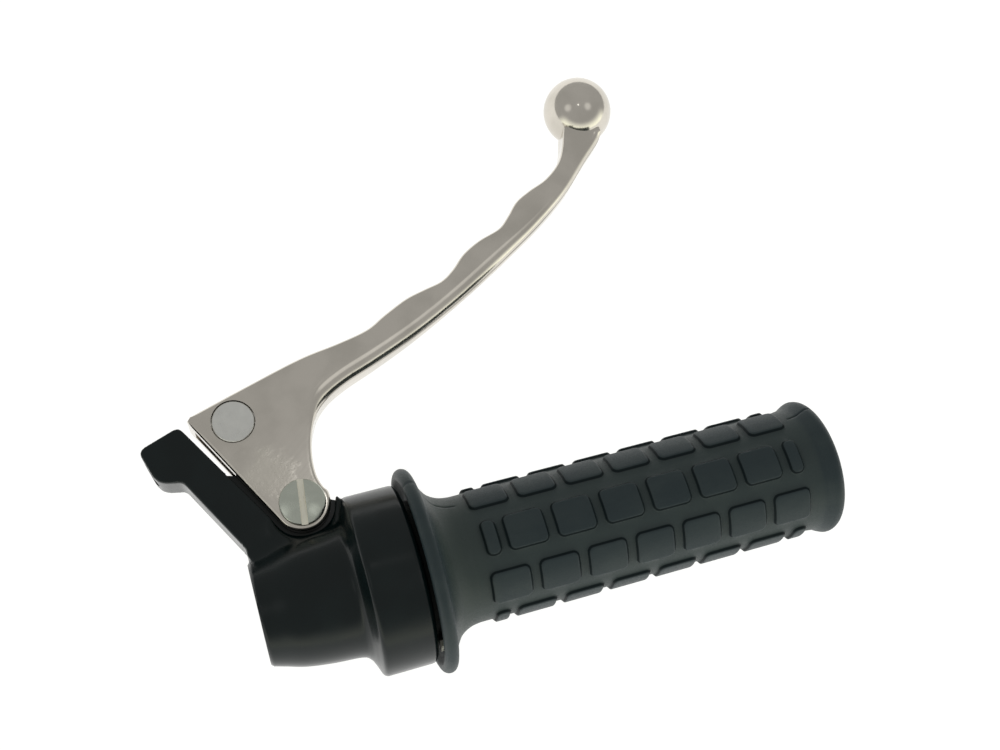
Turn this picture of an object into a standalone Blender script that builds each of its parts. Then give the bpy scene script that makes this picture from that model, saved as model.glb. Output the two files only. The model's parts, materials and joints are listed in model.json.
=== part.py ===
"""Right-hand moped throttle: a cast housing with a twist grip and a brake lever.

Frame: the origin is on the handlebar's axis at the housing's inboard face, +X runs
outboard along the bar, +Y points forward to the lever and +Z up. Sizes below are in
millimetres; every helper turns them into metres as it makes the geometry.
"""

from math import acos, atan2, cos, degrees, hypot, pi, radians, sin

import bmesh
import bpy
from mathutils import Matrix, Vector

MM = 0.001
GAP = 0.3                       # clearance between pieces that touch on the real object

# Handlebar and housing barrel
BORE_R = 11.2                   # slides over a 22 mm handlebar
BARREL_END_R = 13.4
BARREL_R = 17.3
BARREL_LEN = 23.0
BARREL_CHAMFER = 0.8

# Collar round the cable drum
COLLAR_R = 23.5
COLLAR_X0 = 26.4
COLLAR_X1 = 40.7
CHAMBER_R = 21.4
CHAMBER_X0 = 27.0
COLLAR_EDGE = 1.5
BORE_STEPS = 40

# Lever pivot, lever head and the arm that carries it
PIVOT = (17.0, 24.0)
HEAD_R = 7.2
POCKET_R = 8.4
ARM_HALF = 6.5
TONGUE_HALF = 2.4               # thin part of the arm inside the lever's fork
SLOT_HALF = 2.9
HEAD_HALF = 6.5
BUSH_R = 4.0
BLADE_HALF = 4.4
LEVER_CORNER = (-6.4, 51.9)     # tip of the head beside the cable abutment
ARM_CORNER = (-8.0, 49.8)       # end of the arm nearest the lever
PIN = (4.9, 49.1)
PIN_R = 5.5
PIN_CLEARANCE = 0.2
NIPPLE_R = 2.6
BALL = (122.6, 118.6)
BALL_R = 9.9

# Brake cable abutment at the end of the arm
CABLE_ANGLE = 17.0
SOCKET_FACE = (-18.5, 42.0)
CABLE_WAY = (cos(radians(CABLE_ANGLE)), sin(radians(CABLE_ANGLE)), 0.0)
SOCKET_R = 3.6
SOCKET_DEPTH = 8.0
WIRE_R = 1.5

# Throttle drum and what holds it
TUBE_R = 12.3
DRUM_X0 = 28.6
DRUM_X1 = 36.6
DRUM_R = 15.8
WASHER_R = 15.6
DISC_R = 18.7                   # disc of the tube behind the grip's flange
DISC_LUG_R = 22.0
DISC_LUG_HALF = 1.7
DISC_LUG_ANGLE = 163.0
GROOVE_X = 32.6
GROOVE_HALF = 1.2
GROOVE_R = 13.9
CABLE_R = 14.7                  # radius at which the throttle cable leaves the drum
LUG_R = 2.2
LUG_CENTRE_R = 18.4
LUG_ANGLES = (60.0, 180.0, 300.0)
LUG_SCREW_R = 1.0
STOP_R = 19.8
STOP_HALF = 14.8                # half the angle of the drum's stop
STOP_ANGLE = 82.5
DRUM_PIN_ANGLES = (-45.0, 135.0)
DRUM_PIN_R = 0.9
DRUM_PIN_X = 35.2
COVER_X0 = 38.5
COVER_X1 = 40.4
COVER_SCREW_HEAD_R = 2.2
COVER_SLOT_HALF = 0.3
NIPPLE_POCKET_R = 1.6
NIPPLE_POCKET_PLACE = (14.5, 20.0)      # radius, and angle from +Y in degrees
WAVED_X0 = 37.35
WAVED_THICK = 0.5
WAVE_HEIGHT = 0.3
OUTLET_R = 5.3
OUTLET_END = -30.0

# Handlebar clamp under the barrel
CLAMP_X = 10.0
CLAMP_BOSS_R = 6.2
CLAMP_BOSS_Z = -20.5
CLAMP_HEAD_Z = -31.4
PAD_R = 3.6
PAD_Z = -13.1
PAD_THICK = 1.7

# M6 fasteners
M6_R = 3.0
M6_FLATS = 10.0
M6_HEAD_HEIGHT = 4.0
LOCK_NUT_HEIGHT = 4.5
PIVOT_NUT_HEIGHT = 4.2
LOCK_WASHER_THICK = 1.2
LOCK_WASHER_R = 5.4
SCREW_HEAD_R = 6.0
SCREW_SLOT_HALF = 0.85

# Rubber grip
FLANGE_FACE = 44.0
RIM_X = 43.2
RIM_R = 1.85
RIM_CENTRE_R = 25.2
GRIP_R = 16.75
GRIP_STEPS = 32
GRIP_END = 156.4
GRIP_CAP = 4.8                  # thickness of the closed end
BLOCK_HEIGHT = 1.0
BLOCK_TOP_ANGLE = 27.0
BLOCK_PITCH = 13.0
BLOCK_LEN = 9.3
BLOCK_ROWS = 8
BLOCK_FIRST_ROW = 84.8          # angle of the first row from +Y, degrees
BLOCK_START = 57.5
SHORT_BLOCK_START = 58.2
SHORT_BLOCK = 2.6
SHORT_BLOCK_GAP = 3.3
BLOCK_SINK = 0.6                # how far a block's foot runs into the body


# ---------------------------------------------------------------- helpers

def clear_scene():
    for old in list(bpy.data.objects):
        bpy.data.objects.remove(old, do_unlink=True)


def new_collection(name):
    made = bpy.data.collections.new(name)
    bpy.context.scene.collection.children.link(made)
    return made


def material(name, color, roughness, metallic):
    made = bpy.data.materials.new(name)
    made.use_nodes = True
    shader = made.node_tree.nodes["Principled BSDF"]
    shader.inputs["Base Color"].default_value = (*color, 1.0)
    shader.inputs["Roughness"].default_value = roughness
    shader.inputs["Metallic"].default_value = metallic
    made.diffuse_color = (*color, 1.0)
    return made


def new_object(name, mesh, collection):
    made = bpy.data.objects.new(name, mesh)
    collection.objects.link(made)
    return made


def evaluated_mesh(source):
    """The object's mesh with its modifiers or curve settings worked out; the source goes."""
    bpy.context.view_layer.update()
    graph = bpy.context.evaluated_depsgraph_get()
    mesh = bpy.data.meshes.new_from_object(source.evaluated_get(graph))
    mesh.transform(source.matrix_world)
    bpy.data.objects.remove(source, do_unlink=True)
    edit = bmesh.new()
    edit.from_mesh(mesh)
    bmesh.ops.remove_doubles(edit, verts=edit.verts, dist=0.002 * MM)
    bmesh.ops.recalc_face_normals(edit, faces=edit.faces)
    if edit.calc_volume(signed=True) < 0:
        bmesh.ops.reverse_faces(edit, faces=edit.faces)
    edit.to_mesh(mesh)
    edit.free()
    return mesh


def smooth(mesh, angle=35.0):
    mesh.shade_smooth()
    mesh.set_sharp_from_angle(angle=radians(angle))


def finish(name, mesh, surface):
    """A finished piece of the assembly."""
    smooth(mesh)
    mesh.materials.clear()
    mesh.materials.append(surface)
    return new_object(name, mesh, parts)


def tool(name, mesh):
    """A shape that only cuts or joins another one."""
    made = new_object(name, mesh, cutters)
    made.hide_render = True
    made.display_type = "WIRE"
    return made


def combine(piece, other, operation):
    step = piece.modifiers.new(other.name, "BOOLEAN")
    step.operation = operation
    step.solver = "EXACT"
    step.object = other


def cut(piece, *others):
    for other in others:
        combine(piece, other, "DIFFERENCE")


def join(piece, *others):
    for other in others:
        combine(piece, other, "UNION")


def turned_mesh(profile, steps=36, closed=True):
    """A solid turned about the X axis from (x, radius) points.

    A closed profile makes a ring; an open one starts and ends on the axis.
    """
    mesh = bpy.data.meshes.new("turned")
    points = [(radius * MM, 0.0, -x * MM) for x, radius in profile]
    edges = [(i, i + 1) for i in range(len(points) - 1)]
    if closed:
        edges.append((len(points) - 1, 0))
    mesh.from_pydata(points, edges, [])
    spun = bpy.data.objects.new("turned", mesh)
    bpy.context.scene.collection.objects.link(spun)
    spun.rotation_euler = (0.0, -pi / 2, 0.0)
    screw = spun.modifiers.new("turn", "SCREW")
    screw.angle = 2 * pi
    screw.steps = steps
    screw.render_steps = steps
    screw.use_merge_vertices = True
    screw.merge_threshold = 0.00001
    return evaluated_mesh(spun)


def moved(mesh, place=(0.0, 0.0, 0.0), direction=(1.0, 0.0, 0.0)):
    """Take a mesh made along +X from the origin to a place and a direction."""
    turn = Vector((1.0, 0.0, 0.0)).rotation_difference(Vector(direction).normalized())
    mesh.transform(Matrix.Translation(Vector(place) * MM) @ turn.to_matrix().to_4x4())
    return mesh


def rod_mesh(place, direction, length, radius, steps=24):
    """A plain round bar that starts at a place and runs along a direction."""
    edit = bmesh.new()
    bmesh.ops.create_cone(edit, cap_ends=True, segments=steps, radius1=radius * MM,
                          radius2=radius * MM, depth=length * MM)
    mesh = bpy.data.meshes.new("rod")
    edit.to_mesh(mesh)
    edit.free()
    turn = Vector((0.0, 0.0, 1.0)).rotation_difference(Vector(direction).normalized())
    lift = Matrix.Translation((0.0, 0.0, length * MM / 2))
    mesh.transform(Matrix.Translation(Vector(place) * MM) @ turn.to_matrix().to_4x4() @ lift)
    return mesh


def hex_mesh(place, direction, length, flats):
    mesh = rod_mesh((0, 0, 0), (0, 0, 1), length, flats / 2 / cos(pi / 6), steps=6)
    turn = Vector((0.0, 0.0, 1.0)).rotation_difference(Vector(direction).normalized())
    mesh.transform(Matrix.Translation(Vector(place) * MM) @ turn.to_matrix().to_4x4())
    return mesh


def box_mesh(low, high):
    edit = bmesh.new()
    bmesh.ops.create_cube(edit, size=1.0)
    size = [(b - a) * MM for a, b in zip(low, high)]
    centre = [(a + b) / 2 * MM for a, b in zip(low, high)]
    bmesh.ops.scale(edit, vec=size, verts=edit.verts)
    bmesh.ops.translate(edit, vec=centre, verts=edit.verts)
    mesh = bpy.data.meshes.new("box")
    edit.to_mesh(mesh)
    edit.free()
    return mesh


def arc(centre, radius, start, end, count):
    """Points along an arc; angles in degrees, both ends included."""
    turns = [radians(start + (end - start) * i / (count - 1)) for i in range(count)]
    return [(centre[0] + radius * cos(a), centre[1] + radius * sin(a)) for a in turns]


def tangent_angle(point, centre, radius, side):
    """Angle, in degrees, at which a line from a point touches a circle."""
    dx, dy = point[0] - centre[0], point[1] - centre[1]
    return degrees(atan2(dy, dx) + side * acos(radius / hypot(dx, dy)))


def plate_mesh(outline, low, high, rounding=0.0):
    """A flat outline in the XY plane, thick from one height to another."""
    shape = bpy.data.curves.new("outline", "CURVE")
    shape.dimensions = "2D"
    shape.fill_mode = "BOTH"
    shape.extrude = (high - low) / 2 * MM
    spline = shape.splines.new("POLY")
    spline.points.add(len(outline) - 1)
    for point, (x, y) in zip(spline.points, outline):
        point.co = (x * MM, y * MM, 0.0, 1.0)
    spline.use_cyclic_u = True
    flat = bpy.data.objects.new("outline", shape)
    bpy.context.scene.collection.objects.link(flat)
    flat.location = (0.0, 0.0, (low + high) / 2 * MM)
    mesh = evaluated_mesh(flat)
    if rounding:
        mesh = rounded_edges(mesh, rounding)
    return mesh


def rounded_edges(mesh, width):
    """Bevel the two long rims of a plate."""
    solid = bpy.data.objects.new("rounding", mesh)
    bpy.context.scene.collection.objects.link(solid)
    bevel = solid.modifiers.new("rounding", "BEVEL")
    bevel.width = width * MM
    bevel.segments = 2
    bevel.limit_method = "ANGLE"
    bevel.angle_limit = radians(60)
    return evaluated_mesh(solid)


def smooth_curve(points, closed=False, steps=6):
    """Points along a smooth curve through the given ones (Catmull-Rom)."""
    count = len(points)
    spans = count if closed else count - 1
    result = []
    for i in range(spans):
        if closed:
            a, b, c, d = (points[(i + k) % count] for k in (-1, 0, 1, 2))
        else:
            a, b = points[max(i - 1, 0)], points[i]
            c, d = points[i + 1], points[min(i + 2, count - 1)]
        for j in range(steps):
            t = j / steps
            result.append(tuple(
                0.5 * (2 * b[k] + (c[k] - a[k]) * t
                       + (2 * a[k] - 5 * b[k] + 4 * c[k] - d[k]) * t * t
                       + (3 * b[k] - a[k] - 3 * c[k] + d[k]) * t ** 3) for k in (0, 1)))
    if not closed:
        result.append(points[-1])
    return result


def upright(mesh):
    """Turn a plate made in the XY plane so that its outline lies in the YZ plane."""
    mesh.transform(Matrix(((0, 0, 1, 0), (1, 0, 0, 0), (0, 1, 0, 0), (0, 0, 0, 1))))
    return mesh


def around(radius, angle):
    """Y and Z of a point round the handlebar; 0 degrees is +Y and 90 degrees is +Z."""
    return radius * cos(radians(angle)), radius * sin(radians(angle))


# ---------------------------------------------------------------- housing

def housing_body():
    """The turned outside of the barrel and collar, still solid."""
    edge, chamfer = COLLAR_EDGE, BARREL_CHAMFER
    profile = [(0.0, 0.0), (0.0, BARREL_END_R - chamfer), (chamfer, BARREL_END_R)]
    profile += [(8.3, 15.8), (15.0, 16.7), (BARREL_LEN, BARREL_R)]
    profile += [(24.5, 18.3), (25.6, 20.2), (COLLAR_X0, COLLAR_R - edge)]
    profile += arc((COLLAR_X0 + edge, COLLAR_R - edge), edge, 150, 90, 3)
    profile += arc((COLLAR_X1 - edge, COLLAR_R - edge), edge, 90, 0, 4)
    profile += [(COLLAR_X1, 0.0)]
    return turned_mesh(profile, steps=40, closed=False)


def arm_outline():
    """Full-height arm: cable abutment, straight arm and the wall round the lever's head."""
    touch = tangent_angle(ARM_CORNER, PIVOT, POCKET_R, +1)
    outline = [(1.2, 12.6), (0.5, 14.4), (0.5, 16.2)]
    outline += arc((-12.2, 34.8), 2.1, 30, 95, 4)
    outline += [(-14.8, 37.4), (-16.5, 38.3), (-17.7, 40.0)]
    outline += [(-19.5, 46.0), (-19.2, 47.2), (-18.1, 48.0)]
    outline += [(-9.9, 50.8), (-8.8, 50.7), ARM_CORNER]
    outline += arc(PIVOT, POCKET_R, touch, 357, 14)
    outline += [(26.3, 23.6), (26.3, 12.4)]
    return outline


def tongue_outline():
    """Thin tongue inside the lever's fork."""
    outline = [(-3.0, 34.0), (-0.9, 36.8), (7.0, 34.4)]
    outline += arc(PIVOT, HEAD_R - 0.3, 105, 0, 10)
    outline += [(26.0, 23.0), (26.0, 14.2), (8.0, 14.2)]
    return outline


def lug_mesh(angle):
    """Post inside the collar that takes one cover screw."""
    outline = arc((LUG_CENTRE_R, 0.0), LUG_R, 90, 270, 7)
    outline += [(CHAMBER_R + 0.7, -LUG_R), (CHAMBER_R + 0.7, LUG_R)]
    mesh = upright(plate_mesh(outline, CHAMBER_X0 - 0.35, COVER_X0 - GAP))
    mesh.transform(Matrix.Rotation(radians(angle), 4, "X"))
    return mesh


def cut_pivot_pockets(housing):
    """Round recesses above and below the tongue, for the two cheeks of the lever's head."""
    floor, past_arm = SLOT_HALF - GAP, ARM_HALF + 5.0
    for side, low in (("top", floor), ("under", -past_arm)):
        pocket = rod_mesh((*PIVOT, low), (0, 0, 1), past_arm - floor, POCKET_R, 36)
        cut(housing, tool(f"pocket_{side}", pocket))


def cut_cable_sockets(housing):
    """Ferrule sockets of both cables and the holes their wires go through."""
    start = (SOCKET_FACE[0] - 3.0 * CABLE_WAY[0], SOCKET_FACE[1] - 3.0 * CABLE_WAY[1], 0.0)
    cut(housing,
        tool("brake_socket", rod_mesh(start, CABLE_WAY, SOCKET_DEPTH + 3.0, SOCKET_R)),
        tool("brake_wire", rod_mesh(start, CABLE_WAY, 22.0, WIRE_R, 16)))
    start = (GROOVE_X, CABLE_R, OUTLET_END - 1.0)
    cut(housing,
        tool("throttle_socket", rod_mesh(start, (0, 0, 1), SOCKET_DEPTH + 1.0, SOCKET_R)),
        tool("throttle_wire", rod_mesh(start, (0, 0, 1), 20.0, WIRE_R, 16)))


def make_housing(surface):
    housing = finish("housing", housing_body(), surface)
    join(housing, tool("arm", plate_mesh(arm_outline(), -ARM_HALF, ARM_HALF, 1.4)))
    cut_pivot_pockets(housing)
    join(housing, tool("tongue", plate_mesh(tongue_outline(), -TONGUE_HALF, TONGUE_HALF)))
    boss_start = -12.0
    outlet = rod_mesh((GROOVE_X, CABLE_R, boss_start), (0, 0, -1), boss_start - OUTLET_END,
                      OUTLET_R, 32)
    clamp_boss = rod_mesh((CLAMP_X, 0.0, boss_start), (0, 0, -1), boss_start - CLAMP_BOSS_Z,
                          CLAMP_BOSS_R, 32)
    join(housing, tool("outlet_boss", outlet), tool("clamp_boss", clamp_boss))
    bore = rod_mesh((-1.0, 0.0, 0.0), (1, 0, 0), CHAMBER_X0 + 2.0, BORE_R, BORE_STEPS)
    chamber = rod_mesh((CHAMBER_X0, 0.0, 0.0), (1, 0, 0), 20.0, CHAMBER_R, BORE_STEPS)
    cut(housing, tool("bore", bore), tool("chamber", chamber))
    for number, angle in enumerate(LUG_ANGLES, 1):
        join(housing, tool(f"lug_{number}", lug_mesh(angle)))
    for number, angle in enumerate(LUG_ANGLES, 1):
        hole = rod_mesh((31.0, *around(LUG_CENTRE_R, angle)), (1, 0, 0), 9.0,
                        LUG_SCREW_R + GAP, 12)
        cut(housing, tool(f"lug_hole_{number}", hole))
    cut(housing, tool("bush_hole", rod_mesh((*PIVOT, -4.0), (0, 0, 1), 8.0, BUSH_R + GAP, 32)))
    cut_cable_sockets(housing)
    cut(housing,
        tool("clamp_hole", rod_mesh((CLAMP_X, 0.0, -24.0), (0, 0, 1), 14.0, M6_R + GAP)),
        tool("pad_pocket", rod_mesh((CLAMP_X, 0.0, PAD_Z - GAP), (0, 0, 1), 4.5, PAD_R + GAP)))
    return housing


def make_clamp(steel):
    """Bolt, lock nut and pressure pad that hold the housing on the handlebar."""
    nut_z = CLAMP_BOSS_Z - GAP - LOCK_NUT_HEIGHT
    shank_z, shank_end = CLAMP_HEAD_Z + 2.0, PAD_Z - GAP
    shank = rod_mesh((CLAMP_X, 0.0, shank_z), (0, 0, 1), shank_end - shank_z, M6_R)
    bolt = finish("clamp_bolt", shank, steel)
    head = hex_mesh((CLAMP_X, 0.0, CLAMP_HEAD_Z), (0, 0, 1), M6_HEAD_HEIGHT, M6_FLATS)
    join(bolt, tool("clamp_bolt_head", head))
    nut = finish("clamp_lock_nut",
                 hex_mesh((CLAMP_X, 0.0, nut_z), (0, 0, 1), LOCK_NUT_HEIGHT, M6_FLATS), steel)
    cut(nut, tool("clamp_nut_hole",
                  rod_mesh((CLAMP_X, 0.0, nut_z - 2.0), (0, 0, 1), 12.0, M6_R + GAP)))
    finish("clamp_pressure_pad",
           rod_mesh((CLAMP_X, 0.0, PAD_Z), (0, 0, 1), PAD_THICK, PAD_R), steel)


# ---------------------------------------------------------------- throttle

def ring(x0, x1, inner, outer, steps=36):
    return turned_mesh([(x0, inner), (x0, outer), (x1, outer), (x1, inner)], steps)


def cover_screw_mesh(y, z):
    """Small countersunk-style screw along X with its head in the cover's recess."""
    head = COVER_SCREW_HEAD_R
    profile = [(-6.5, 0.0), (-6.5, LUG_SCREW_R), (0.0, LUG_SCREW_R), (0.0, head), (0.7, head),
               (1.0, head - 0.4), (1.0, 0.0)]
    return moved(turned_mesh(profile, 16, closed=False), (COVER_X1 - 0.8, y, z))


def make_cover(steel):
    """Plate that keeps the drum in the collar, with its three screws."""
    plate = ring(COVER_X0, COVER_X1, TUBE_R + 2 * GAP, CHAMBER_R - GAP, BORE_STEPS)
    cover = finish("drum_cover", plate, steel)
    for number, angle in enumerate(LUG_ANGLES, 1):
        y, z = around(LUG_CENTRE_R, angle)
        hole = rod_mesh((COVER_X0 - 1.0, y, z), (1, 0, 0), 4.0, LUG_SCREW_R + 2 * GAP, 16)
        sink = rod_mesh((COVER_X1 - 1.1, y, z), (1, 0, 0), 3.0, COVER_SCREW_HEAD_R + GAP, 16)
        cut(cover, tool(f"cover_hole_{number}", hole), tool(f"cover_sink_{number}", sink))
        screw = finish(f"cover_screw_{number}", cover_screw_mesh(y, z), steel)
        slot = box_mesh((COVER_X1 - 0.3, y - 3.0, z - COVER_SLOT_HALF),
                        (COVER_X1 + 1.0, y + 3.0, z + COVER_SLOT_HALF))
        cut(screw, tool(f"cover_slot_{number}", slot))


def make_tube(steel):
    """Throttle tube that turns on the handlebar, with the disc behind the grip's flange."""
    start, end = CHAMBER_X0 + GAP, GRIP_END - GRIP_CAP - GAP
    disc0, disc1 = COLLAR_X1 + 0.2, FLANGE_FACE - GAP
    profile = [(start, BORE_R), (start, TUBE_R), (disc0, TUBE_R), (disc0, DISC_R - 0.5),
               (disc0 + 0.4, DISC_R), (disc1, DISC_R), (disc1, TUBE_R), (end, TUBE_R),
               (end, BORE_R)]
    tube = finish("throttle_tube", turned_mesh(profile), steel)
    lug = box_mesh((disc0 + 0.6, DISC_R - 2.0, -DISC_LUG_HALF),
                   (disc1 - 0.3, DISC_LUG_R, DISC_LUG_HALF))
    lug.transform(Matrix.Rotation(radians(DISC_LUG_ANGLE), 4, "X"))
    join(tube, tool("disc_lug", lug))
    for number, angle in enumerate(DRUM_PIN_ANGLES, 1):
        direction = (0.0, *around(1.0, angle))
        hole = rod_mesh((DRUM_PIN_X, *around(10.0, angle)), direction, 8.0, DRUM_PIN_R + GAP, 12)
        cut(tube, tool(f"tube_pin_hole_{number}", hole))
    return tube


def make_drum(alloy):
    """Grooved drum that winds the throttle cable, with the stop that limits its turn."""
    inner = TUBE_R + GAP
    profile = [(DRUM_X0, inner), (DRUM_X0, DRUM_R), (GROOVE_X - GROOVE_HALF, DRUM_R),
               (GROOVE_X - GROOVE_HALF / 2, GROOVE_R), (GROOVE_X + GROOVE_HALF / 2, GROOVE_R),
               (GROOVE_X + GROOVE_HALF, DRUM_R), (DRUM_X1, DRUM_R), (DRUM_X1, inner)]
    drum = finish("cable_drum", turned_mesh(profile), alloy)
    first, last = STOP_ANGLE - STOP_HALF, STOP_ANGLE + STOP_HALF
    outline = arc((0, 0), STOP_R, first, last, 6) + arc((0, 0), DRUM_R - 1.0, last, first, 6)
    stop = upright(plate_mesh(outline, DRUM_X0 + 0.2, GROOVE_X - GROOVE_HALF - 0.2))
    join(drum, tool("drum_stop", stop))
    pocket = rod_mesh((GROOVE_X, *around(*NIPPLE_POCKET_PLACE)), (1, 0, 0), 8.0,
                      NIPPLE_POCKET_R, 16)
    cut(drum, tool("nipple_pocket", pocket))
    for number, angle in enumerate(DRUM_PIN_ANGLES, 1):
        direction = (0.0, *around(1.0, angle))
        hole = rod_mesh((DRUM_PIN_X, *around(11.5, angle)), direction, 8.0, DRUM_PIN_R + GAP, 12)
        cut(drum, tool(f"drum_pin_hole_{number}", hole))
    return drum


def make_drum_pins(steel):
    """Two pins that lock the drum to the throttle tube."""
    pins = []
    for number, angle in enumerate(DRUM_PIN_ANGLES, 1):
        start = (DRUM_PIN_X, *around(BORE_R + GAP, angle))
        pin = rod_mesh(start, (0.0, *around(1.0, angle)), 4.0, DRUM_PIN_R, 12)
        pins.append(finish(f"drum_pin_{number}", pin, steel))
    return pins


def make_washers(steel):
    """Flat washer behind the drum and the waved one that gives the grip its friction."""
    flat = ring(CHAMBER_X0 + GAP, DRUM_X0 - GAP, TUBE_R + GAP, WASHER_R)
    waved = ring(WAVED_X0, WAVED_X0 + WAVED_THICK, TUBE_R + GAP, WASHER_R)
    for vertex in waved.vertices:
        turn = atan2(vertex.co.z, vertex.co.y)
        vertex.co.x += WAVE_HEIGHT * sin(3 * turn) * MM
    return [finish("thrust_washer", flat, steel), finish("friction_washer", waved, steel)]


def grip_profile():
    """Outline of the rubber: cupped flange, flare, body and end lip."""
    inner = TUBE_R + GAP
    profile = [(GRIP_END - GRIP_CAP, 0.0), (GRIP_END - GRIP_CAP, inner)]
    profile += [(FLANGE_FACE, inner), (FLANGE_FACE, 20.8), (FLANGE_FACE - 0.9, 22.6)]
    profile += arc((RIM_X, RIM_CENTRE_R), RIM_R, 225, 10, 9)
    profile += [(45.5, 23.4), (46.5, 21.3), (48.1, 19.0), (49.9, 17.7), (51.8, 17.0),
                (54.0, GRIP_R)]
    profile += [(147.5, GRIP_R), (150.2, 17.2)]
    profile += [(151.9, 18.1), (153.2, 18.5), (154.5, 18.2), (155.5, 17.2), (156.1, 15.4),
                (GRIP_END, 13.0), (GRIP_END, 0.0)]
    return profile


def block_spans(row):
    """Where each raised block's top starts and ends; every other row is shifted."""
    if row % 2:
        starts = [BLOCK_START + BLOCK_PITCH * i for i in range(7)]
        return [(x, x + BLOCK_LEN) for x in starts]
    first = SHORT_BLOCK_START + SHORT_BLOCK + SHORT_BLOCK_GAP
    starts = [first + BLOCK_PITCH * i for i in range(6)]
    last = first + BLOCK_PITCH * 6
    full = [(x, x + BLOCK_LEN) for x in starts]
    return [(x, x + SHORT_BLOCK) for x in (SHORT_BLOCK_START, last)] + full


def add_block(edit, x0, x1, middle):
    """One raised block: a slab bent round the grip, with sloping sides and a sunk foot."""
    grid = bmesh.ops.create_grid(edit, x_segments=1, y_segments=2, size=1.0)
    foot = grid["verts"]
    faces = list({face for vertex in foot for face in vertex.link_faces})
    raised = bmesh.ops.extrude_face_region(edit, geom=faces, use_keep_orig=True)
    top = [item for item in raised["geom"] if isinstance(item, bmesh.types.BMVert)]
    foot_spread = BLOCK_HEIGHT + BLOCK_SINK
    half_top = BLOCK_TOP_ANGLE / 2
    sizes = ((foot, GRIP_R - BLOCK_SINK, half_top + degrees(foot_spread / GRIP_R), foot_spread),
             (top, GRIP_R + BLOCK_HEIGHT, half_top, 0.0))
    for vertices, radius, half_angle, spread in sizes:
        for vertex in vertices:
            angle = radians(middle + vertex.co.y * half_angle)
            x = x0 - spread if vertex.co.x < 0 else x1 + spread
            vertex.co = Vector((x, radius * cos(angle), radius * sin(angle))) * MM


def block_mesh():
    """All raised blocks of the grip as closed slabs."""
    edit = bmesh.new()
    for row in range(BLOCK_ROWS):
        for x0, x1 in block_spans(row):
            add_block(edit, x0, x1, BLOCK_FIRST_ROW + 360.0 / BLOCK_ROWS * row)
    bmesh.ops.recalc_face_normals(edit, faces=edit.faces)
    mesh = bpy.data.meshes.new("blocks")
    edit.to_mesh(mesh)
    edit.free()
    return mesh


def make_grip(rubber):
    grip = finish("grip_rubber", turned_mesh(grip_profile(), GRIP_STEPS, closed=False), rubber)
    join(grip, tool("grip_blocks", block_mesh()))
    return grip


# ---------------------------------------------------------------- brake lever

def lever_outline():
    """Plan of the lever: round pivot end, straight back, waved front and plain rear edge."""
    leave = tangent_angle(LEVER_CORNER, PIVOT, HEAD_R, +1)
    front = smooth_curve([(-5.5, 53.0), (10.0, 57.5), (25.4, 61.7), (36.0, 63.5), (44.7, 65.6),
                          (50.5, 68.7), (57.4, 72.0), (63.0, 73.6), (68.4, 75.0), (72.4, 77.6),
                          (76.6, 81.4), (82.0, 84.3), (88.4, 86.5), (92.0, 89.6), (95.6, 93.3),
                          (100.2, 95.8), (105.8, 98.2), (110.6, 102.0), (113.4, 106.4),
                          (115.8, 113.0)], steps=2)
    rear = smooth_curve([(125.4, 112.0), (126.0, 108.2), (118.7, 101.0), (110.4, 92.9),
                         (100.6, 85.6), (90.6, 79.3), (78.5, 72.2), (66.7, 65.9), (56.0, 60.8),
                         (45.0, 56.3), (36.2, 53.0), (30.1, 49.8), (26.1, 46.0), (23.6, 40.8),
                         (22.3, 35.0), (22.2, 30.0), (23.2, 26.6)], steps=2)
    return [LEVER_CORNER] + front + rear + arc(PIVOT, HEAD_R, 14, leave - 360, 14)


def slot_outline():
    """Plan of the fork's slot; it runs out past the lever's edges."""
    outline = [(-9.0, 48.7), (-4.6, 49.8), (9.5, 53.9), (13.0, 52.0), (14.8, 42.0)]
    outline += arc(PIVOT, POCKET_R + 0.6, 70, 0, 7)
    return outline + [(30.0, 8.0), (-2.0, 10.0)]


def lever_mesh():
    """The lever before its slot and holes: thick at the head, thinner along the blade."""
    mesh = plate_mesh(lever_outline(), -HEAD_HALF, HEAD_HALF, 1.2)
    head_end, blade_start = 30.0, 75.0
    for vertex in mesh.vertices:
        share = min(max((vertex.co.x / MM - head_end) / (blade_start - head_end), 0.0), 1.0)
        ease = share * share * (3 - 2 * share)
        vertex.co.z *= 1 + (BLADE_HALF / HEAD_HALF - 1) * ease
    return mesh


def ball_mesh():
    edit = bmesh.new()
    bmesh.ops.create_uvsphere(edit, u_segments=28, v_segments=18, radius=BALL_R * MM)
    mesh = bpy.data.meshes.new("ball")
    edit.to_mesh(mesh)
    edit.free()
    mesh.transform(Matrix.Translation((BALL[0] * MM, BALL[1] * MM, 0.0)))
    return mesh


def make_lever(alloy):
    lever = finish("brake_lever", lever_mesh(), alloy)
    join(lever, tool("lever_ball", ball_mesh()))
    past_head = HEAD_HALF + 3.5
    cut(lever,
        tool("fork_slot", plate_mesh(slot_outline(), -SLOT_HALF, SLOT_HALF)),
        tool("lever_pivot_hole", rod_mesh((*PIVOT, -past_head), (0, 0, 1), 2 * past_head,
                                          M6_R + GAP)),
        tool("lever_pin_hole", rod_mesh((*PIN, -past_head), (0, 0, 1), 2 * past_head,
                                        PIN_R + PIN_CLEARANCE, 32)))
    return lever


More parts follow.
